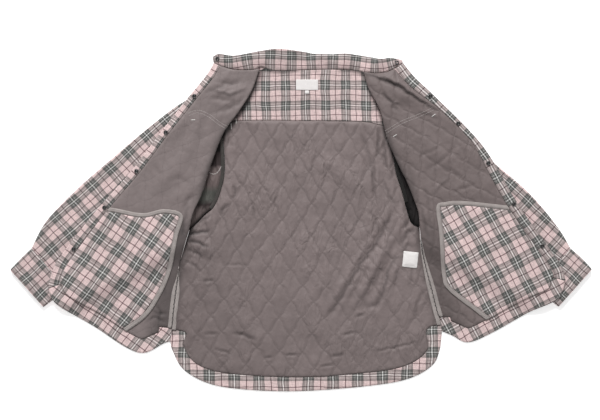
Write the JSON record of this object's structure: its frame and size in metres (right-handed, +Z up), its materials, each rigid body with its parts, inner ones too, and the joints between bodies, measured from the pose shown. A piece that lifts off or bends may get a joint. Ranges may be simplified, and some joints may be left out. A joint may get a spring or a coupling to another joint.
{
  "type": "padded shirt jacket",
  "caption": "Padded shirt jacket in a woven check, unbuttoned and spread open on its back, with a quilted lining, bound pocket bags, snaps, banded cuffs and a shirt-tail hem.",
  "frame": {"origin": "middle of the bounding box, on the surface that the jacket lies on", "axes": "+Z up from the surface to the lining side, +Y to the collar, +X to the wearer's left cuff"},
  "size_m": [1.31, 0.7726, 0.0225],
  "materials": {
    "check": "brushed flannel, yarn-dyed check in pink, grey, white and dark lines",
    "lining": "taupe-grey woven lining with a slight sheen, quilted in diamonds",
    "tape": "matt bias tape, light grey",
    "label": "white satin, blank",
    "snap": "dark nickel"
  },
  "bodies": {
    "root": {"back_shell": "check", "back_yoke_lining": "check", "back_lining": "lining", "back_hem_facing": "check", "collar_stand": "check", "collar_leaf": "check", "neck_label": "label", "size_tab": "label", "care_label": "label", "right_front_shell": "check", "right_front_lining": "lining", "right_front_facing": "check", "right_front_hem_facing": "check", "right_pocket_bag": "check", "right_pocket_binding": "tape", "right_side_binding_front": "tape", "right_side_binding_back": "tape", "right_sleeve_upper": "check", "right_sleeve_elbow": "check", "right_sleeve_lower": "check", "right_cuff": "check", "right_armhole_binding": "tape", "right_snap_1": "snap", "right_snap_2": "snap", "right_snap_3": "snap", "right_snap_4": "snap", "right_snap_5": "snap", "left_front_shell": "check", "left_front_lining": "lining", "left_front_facing": "check", "left_front_hem_facing": "check", "left_pocket_bag": "check", "left_pocket_binding": "tape", "left_side_binding_front": "tape", "left_side_binding_back": "tape", "left_sleeve_upper": "check", "left_sleeve_elbow": "check", "left_sleeve_lower": "check", "left_cuff": "check", "left_armhole_binding": "tape", "left_snap_1": "snap", "left_snap_2": "snap", "left_snap_3": "snap", "left_snap_4": "snap", "left_snap_5": "snap", "right_collar_snap": "snap", "left_collar_snap": "snap"}
  },
  "joints": []
}
